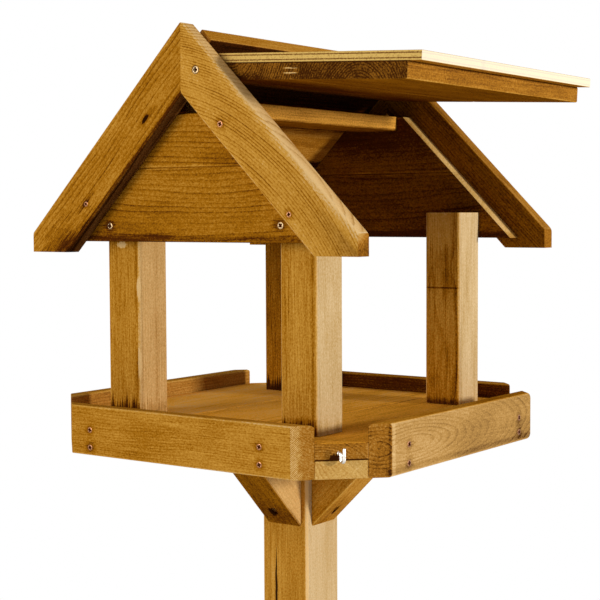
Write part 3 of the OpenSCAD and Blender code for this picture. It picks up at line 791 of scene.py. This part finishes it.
class BIRDTABLE_OT_shelter(bpy.types.Operator):
    """Finishes the corner posts, the gables and the bargeboards"""

    bl_idname = "birdtable.shelter"
    bl_label = "Shelter"

    def execute(self, context):
        post = {"ring": 2.6, "grain": 0.2, "fibre": 0.24, "edge": 0.12, "worn": 0.35}
        finish_timber(
            "post_front_left", Z, -Y, seed=60, pith=(40, 45), tone=0.35, foot=21, bleach=0.48, **post,
            patches=[
                patch((73.5, 2, 22), (3.2, 6.5, 4), -1.0, soft=0.3),
                patch((96, 0, 22), (18, 30, 6), 0.22, ragged=0.8),
                patch((30, -20, 20), (13, 1.8, 3), -1.2, soft=0.3),
                patch((-48, -20, 20), (16, 1.8, 3), -1.0, soft=0.3),
                # Painted light: the side facing +X paler
                patch((0, -22, 0), (0, 2, 0), -0.16),
                patch((40, -17, 22), (40, 2, 4), 0.25), patch((-60, -17, 22), (30, 2, 4), 0.2),
                patch((0, -22, -4), (0, 3, 3), 0.12),
            ],
        )
        finish_timber(
            "post_front_right", Z, -Y, seed=61, pith=(-30, 60), tone=0.3, foot=12, **post,
            patches=[patch((0, -16.5, 22), (0, 1.1, 4), 0.25), patch((-97, 0, 22), (8, 30, 6), 0.3)],
        )
        finish_timber("post_rear_left", Z, -Y, seed=62, pith=(60, 40), tone=0.62, foot=16, bleach=0.7, **post)
        finish_timber(
            "post_rear_right", Z, -Y, seed=63, pith=(8, 80), tone=0.34, foot=4, wave=1.6,
            **{**post, "grain": 0.45},
            patches=[
                patch((0, -17.5, 22), (0, 0.9, 4), 0.24, soft=0.6),
                patch((20, -4, 22), (60, 0.8, 4), 0.2),
                patch((23, 3, 22), (1.0, 26, 6), 0.5, soft=0.3, ragged=0.1),
                patch((-20, 2, 22), (60, 8, 6), -0.12),
                patch((-80, 0, 22), (60, 30, 8), 0.2),
                # Painted light: the side facing +X paler
                patch((0, -22, 0), (0, 3, 0), -0.12),
                patch((95, 0, 22), (30, 30, 3), -0.25),
            ],
        )
        gable = {
            "ring": 5.4, "fibre": 0.08, "cloud": 0.1, "back": 0.3, "edge": 0.2, "bleach": 0.5, "end": -0.15,
            "end_grain": 0.15, "worn": -0.25,
        }
        for where, along, out in (("front", X, -Y), ("rear", -X, Y)):
            rear = where == "rear"
            gable["grain"] = 0.22 if rear else 0.38
            finish_timber(
                f"gable_{where}_low", along, out, seed=70, pith=(-120, 30), tone=0.55, bend=0.3, wave=1.9,
                **gable,
                patches=[
                    # The first patch: deeper stain and painted shade along the bottom edge
                    patch((0, -37, 0), (0, 7, 0), 0.4, ragged=0.5), patch((-90, -34, 9), (60, 16, 12), 0.22),
                    patch((0, 14, 9), (120, 14, 12), -0.06),
                ],
            )
            finish_timber(
                f"gable_{where}_high", along, out, seed=71, pith=(-95, 30), tone=0.5, tilt=-0.03, wave=1.4,
                **gable,
                patches=[
                    patch((42, -18, 9), (30, 9, 12), 0.2),
                    patch((0, 26, 9), (30, 4, 12), -0.2 if rear else 0.15),
                    # Painted shade on the inside face near the top, under the roof
                    patch((0, 14, -9), (110, 22, 6), 0.35, soft=0.7),
                ],
            )
        barge = {"back": 0.25, "edge": 0.05, "end": 0.74, "end_grain": 0.08, "worn": 0.2}
        # Painted shade on the left bargeboard's lower inner edge
        underside_shading = patch((0, -25, 0), (0, 3, 0), 0.75, soft=0.4, ragged=0.2)
        round_bargeboard(
            "bargeboard_front_right", DOWN_RIGHT, -Y, seed=80, pith=(-75, 14), ring=2.9, tilt=0.2, bend=-1.6,
            tone=0.25, grain=0.75, fibre=0.06, **barge,
            patches=[
                # Painted highlight along the upper edge of the front face
                patch((110, 27, 9), (150, 9, 9), -0.3, soft=0.8, ragged=0.15),
                patch((0, 27, 2), (0, 8, 10), -0.2, soft=0.6, ragged=0.15),
            ],
        )
        round_bargeboard(
            "bargeboard_front_left", -DOWN_LEFT, -Y, seed=81, pith=(70, 40), ring=4.2,
            tone=0.47, grain=0.42, wave=1.5, **barge,
            patches=[
                underside_shading,
                patch((-128, -10, 9), (34, 14, 9), 0.4, ragged=1.4),
                patch((-96, -19, 9), (34, 5, 9), 0.3, ragged=1.2),
                patch((53.7, -7.8, 9), (5.2, 1.9, 5), 1.0, soft=0.3, ragged=0.3),
                patch((56, -7.8, 9), (13, 3.4, 5), 0.3, ragged=0.8),
                patch((-62, -7, 9), (14, 2.4, 5), 0.35, ragged=1.0),
            ],
        )
        round_bargeboard(
            "bargeboard_rear_right", -DOWN_RIGHT, Y, seed=82, pith=(-70, 20), ring=3.0,
            tone=0.52, grain=0.3, bleach=0.3, **{**barge, "end": 0.76},
        )
        round_bargeboard(
            "bargeboard_rear_left", DOWN_LEFT, Y, seed=83, pith=(70, 30), ring=3.4, tone=0.44, grain=0.2,
            **barge,
        )
        return {"FINISHED"}


class BIRDTABLE_OT_roof(bpy.types.Operator):
    """Finishes the ridge batten, the roof boards and the plywood"""

    bl_idname = "birdtable.roof"
    bl_label = "Roof and lid"

    def execute(self, context):
        finish_timber(
            "ridge_batten", Y, X, seed=90, pith=(60, 40), tone=0.2, grain=0.2, bleach=0.1, edge=0.0, worn=0.0,
            light=tuple(context.scene.bird_table_timber.lit_floor_stain),
            # Painted shade on the batten's underside
            patches=[patch((0, -8, 0), (0, 1.5, 0), 0.5, soft=0.2)],
        )
        # inside: the boards' backs face into the shelter and get painted shade
        inside = {"back": 1.0, "tone": 0.42, "bleach": 0.1, "grain": 0.26}
        finish_timber(
            "roof_board_high", Y, OUT_LEFT, seed=91, pith=(40, 40), ring=4, **inside,
            # Painted pool of light on the underside, where the side light reaches it under the lid
            patches=[patch((0, 62, -8), (0, 42, 5), -0.95, soft=0.2, ragged=0.1)],
        )
        finish_timber("roof_board_low", Y, OUT_LEFT, seed=92, pith=(-50, 30), ring=4, **inside)
        ply = {"pith": (10, 60), "ring": 9, "wave": 4.0, "tone": 0.42, "plies": True}
        finish_timber("roof_ply", Y, OUT_LEFT, seed=93, bleach=0.2, **ply)
        # Painted shadow along the top of the lid boards, under the plywood's edge
        gap = patch((0, 0, 9), (0, 0, 1.6), 0.7, soft=0.5, ragged=0.2)
        lid = {"tone": 0.64, "bleach": 0.12, "grain": 0.26, "back": 0.05, "end_grain": 0.6}
        tongue = [patch((-174, -48, w), (3, 8, 0.6), -1.0, soft=0.3, ragged=0.1) for w in (2.4, -2.1)]
        finish_timber(
            "lid_board_high", Y, LID_OUT, seed=94, pith=(22, 20), ring=2.6, end=0.86, **lid,
            # The first patch is painted shade on the underside towards the ridge
            patches=[patch((0, 38, -8), (0, 60, 5), 0.3), gap, *tongue],
        )
        finish_timber(
            "lid_board_low", Y, LID_OUT, seed=95, pith=(-12, -24), ring=2.4, end=0.98, patches=[gap], **lid,
        )
        finish_timber(
            "lid_ply", Y, LID_OUT, seed=96, **ply,
            patches=[patch((-63, -113, 0), (3.5, 3, 6), 0.7, soft=0.5, ragged=0.6)],
        )
        return {"FINISHED"}


class BIRDTABLE_OT_metal(bpy.types.Operator):
    """Drives the screws and fits the cup hooks"""

    bl_idname = "birdtable.metal"
    bl_label = "Screws and hooks"

    def execute(self, context):
        metal = context.scene.bird_table_metal
        plated = [
            self.plate("screw_plating", metal.screw), self.plate("screw_recess", metal.recess, 0.0),
            self.plate("small_screw_plating", metal.small_screw),
        ]
        turn = 0.4
        heads = bmesh.new()
        for node, board in BOARDS.items():
            out = board.axes[2]
            for u, v, size in screw_places(node, board):
                screw_head(heads, board.place(u, v, board.half[2]), out, turn, size)
                turn += TURN
            if node.startswith("roof_board"):
                for u in (-SLOPE_RUN, SLOPE_RUN):
                    for v in (-0.5 * board.half[1], 0.5 * board.half[1]):
                        screw_head(heads, board.place(u, v, board.half[2]), out, turn, SLOPE_HEAD)
                        turn += TURN
            if "brace" in node:
                away = Vector((board.middle.x, board.middle.y, 0)).normalized()
                low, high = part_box(node)
                level = high.z - BORE_RISE if node.startswith("foot") else low.z + BORE_RISE
                screw_head(heads, away * BORE_SEAT + Z * level, away, turn, BORE_HEAD)
                turn += TURN
        make_piece("screw_heads", heads, "table", plated)

        pivots = bmesh.new()
        for node, out in (("pivot_screw_front", -Y), ("pivot_screw_rear", Y)):
            low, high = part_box(node)
            length = (high.y - low.y) / MM
            face = Vector((PIVOT.x, max(out.y * low.y, out.y * high.y) * out.y, PIVOT.z))
            screw_head(
                pivots, face - out * (PROUD * MM), out, turn, metal.pivot_head,
                shank=length - metal.pivot_head, shank_size=metal.pivot_shank,
            )
            turn += TURN
        replaced = ["pivot_screw_front", "pivot_screw_rear"]
        make_piece("pivot_screws", pivots, "lid", plated[:2], replaced)

        shine = self.plate("hook_plating", metal.hook)
        hooks = bmesh.new()
        for side in (1, -1):
            out = Vector((side, -side, 0)).normalized()
            aside = Vector((-side, -side, 0)).normalized() * metal.hook_aside
            cup_hook(
                hooks, self.hook_foot(side) + (aside - Z * metal.hook_low) * MM,
                Matrix.Rotation(metal.hook_skew, 3, "Z") @ out,
                metal.hook_wire, metal.hook_bend, metal.hook_drop, metal.hook_tip,
            )
        make_piece("cup_hooks", hooks, "table", [shine], ["corner_hooks"])
        return {"FINISHED"}

    def plate(self, name, colour, metallic=1.0):
        """Plated metal, a little uneven."""
        f = Finish(name)
        place = f.node("ShaderNodeTexCoord", output="Object")
        cloud = f.noise(f.vector("MULTIPLY", place, (400, 400, 400)), 3.0)
        dull = f.mix(f.clamp(cloud * 0.8 + 0.3), (*colour, 1), tuple(k * 0.72 for k in colour) + (1,))
        return f.surface(
            dull, cloud * 0.1 + 0.34, (cloud, 0.1), Metallic=metallic, Specular_IOR_Level=0.5 * metallic,
        )

    def hook_foot(self, side):
        """The middle of a cut corner, where its hook's neck leaves it."""
        mesh = NODES["corner_hooks"].data
        points = [v.co for v in mesh.vertices if v.co.x * side > 0]
        out = Vector((side, -side, 0)).normalized()
        along = Vector((side, side, 0)).normalized()
        back = min(out.dot(c) for c in points)
        sides = [along.dot(c) for c in points]
        collar = [c.z for c in points if out.dot(c) < back + 0.5 * MM]
        middle = (min(sides) + max(sides)) / 2
        return out * back + along * middle + Z * (sum(collar) / len(collar))


class BIRDTABLE_OT_studio(bpy.types.Operator):
    """Lays the floor and sets the lights, the world and the camera"""

    bl_idname = "birdtable.studio"
    bl_label = "Studio"

    def execute(self, context):
        scene, studio = context.scene, context.scene.bird_table_studio
        bm = bmesh.new()
        bmesh.ops.create_circle(bm, cap_ends=True, segments=96, radius=studio.floor_radius)
        mesh = bpy.data.meshes.new("floor")
        bm.to_mesh(mesh)
        bm.free()
        floor = bpy.data.objects.new("floor", mesh)
        scene.collection.objects.link(floor)
        pale = Finish("pale_floor")
        reach = pale.vector("LENGTH", pale.node("ShaderNodeTexCoord", output="Object"), output=1)
        solid = pale.rise(reach, studio.floor_radius, studio.floor_radius * 0.4)
        mesh.materials.append(
            pale.surface((*studio.floor, 1), 0.9, Alpha=solid, Specular_IOR_Level=0.1)
        )

        world = bpy.data.worlds.new("studio")
        world.use_nodes = True
        scene.world = world
        nodes, links = world.node_tree.nodes, world.node_tree.links
        nodes.clear()
        path = nodes.new("ShaderNodeLightPath")
        seen = nodes.new("ShaderNodeMath")
        seen.operation = "MAXIMUM"
        links.new(path.outputs["Is Camera Ray"], seen.inputs[0])
        through = nodes.new("ShaderNodeMath")
        through.operation = "MAXIMUM"
        links.new(path.outputs["Is Glossy Ray"], through.inputs[0])
        links.new(path.outputs["Is Transmission Ray"], through.inputs[1])
        links.new(through.outputs[0], seen.inputs[1])
        level = nodes.new("ShaderNodeMapRange")
        level.inputs["To Min"].default_value = studio.ambient
        level.inputs["To Max"].default_value = 1.0
        links.new(seen.outputs[0], level.inputs["Value"])
        backdrop = nodes.new("ShaderNodeBackground")
        backdrop.inputs["Color"].default_value = (1, 1, 1, 1)
        links.new(level.outputs[0], backdrop.inputs["Strength"])
        output = nodes.new("ShaderNodeOutputWorld")
        links.new(backdrop.outputs[0], output.inputs["Surface"])

        shelter = (0, 0, 1.25)  # where both lights point
        self.lamp("front_light", (-0.8, -2.42, 1.75), shelter, 0.9, 1.4, studio.front_power)
        self.lamp("side_light", (3.28, 0.7, 1.66), shelter, 0.3, 0.3, studio.side_power)

        camera = bpy.data.cameras.new("camera")
        camera.lens = studio.lens
        camera.sensor_width = 36.0
        holder = bpy.data.objects.new("camera", camera)
        deck = Vector((0, 0, DECK))
        turn, drop = studio.turn, studio.drop
        back = Vector(
            (math.sin(turn) * math.cos(drop), -math.cos(turn) * math.cos(drop), math.sin(drop))
        )
        pose = (-back).to_track_quat("-Z", "Y").to_matrix() @ Matrix.Rotation(studio.roll, 3, "Z")
        holder.matrix_world = Matrix.Translation(deck + Vector(studio.eye)) @ pose.to_4x4()
        scene.collection.objects.link(holder)
        scene.camera = holder
        scene.view_settings.view_transform = "Standard"
        return {"FINISHED"}

    def lamp(self, name, place, aim, width, height, power):
        data = bpy.data.lights.new(name, "AREA")
        data.shape = "RECTANGLE"
        data.size, data.size_y = width, height
        data.energy = power
        obj = bpy.data.objects.new(name, data)
        obj.location = place
        obj.rotation_euler = (Vector(aim) - Vector(place)).to_track_quat("-Z", "Y").to_euler()
        bpy.context.scene.collection.objects.link(obj)


class BIRDTABLE_PT_panel(bpy.types.Panel):
    """Lists the table's pieces and their settings"""

    bl_idname = "BIRDTABLE_PT_panel"
    bl_label = "Bird Table"
    bl_space_type = "VIEW_3D"
    bl_region_type = "UI"
    bl_category = "Bird Table"

    def draw(self, context):
        for operator in OPERATORS:
            self.layout.operator(operator.bl_idname)
        for name in GROUPS:
            group = getattr(context.scene, name)
            box = self.layout.box()
            for setting in group.bl_rna.properties.keys():
                if setting not in ("rna_type", "name"):
                    box.prop(group, setting)


OPERATORS = (
    BIRDTABLE_OT_stand,
    BIRDTABLE_OT_tray,
    BIRDTABLE_OT_shelter,
    BIRDTABLE_OT_roof,
    BIRDTABLE_OT_metal,
    BIRDTABLE_OT_studio,
)
GROUPS = {
    "bird_table_timber": BIRDTABLE_PG_timber,
    "bird_table_metal": BIRDTABLE_PG_metal,
    "bird_table_studio": BIRDTABLE_PG_studio,
}


def register():
    for cls in (*GROUPS.values(), *OPERATORS, BIRDTABLE_PT_panel):
        bpy.utils.register_class(cls)
    for name, group in GROUPS.items():
        setattr(bpy.types.Scene, name, PointerProperty(type=group))


def unregister():
    for name in GROUPS:
        delattr(bpy.types.Scene, name)
    for cls in reversed((*GROUPS.values(), *OPERATORS, BIRDTABLE_PT_panel)):
        bpy.utils.unregister_class(cls)


def main():
    """Finishes every piece in order and sets up the studio."""
    register()
    bpy.ops.birdtable.stand()
    bpy.ops.birdtable.tray()
    bpy.ops.birdtable.shelter()
    bpy.ops.birdtable.roof()
    bpy.ops.birdtable.metal()
    bpy.ops.birdtable.studio()


if __name__ == "__main__":
    main()
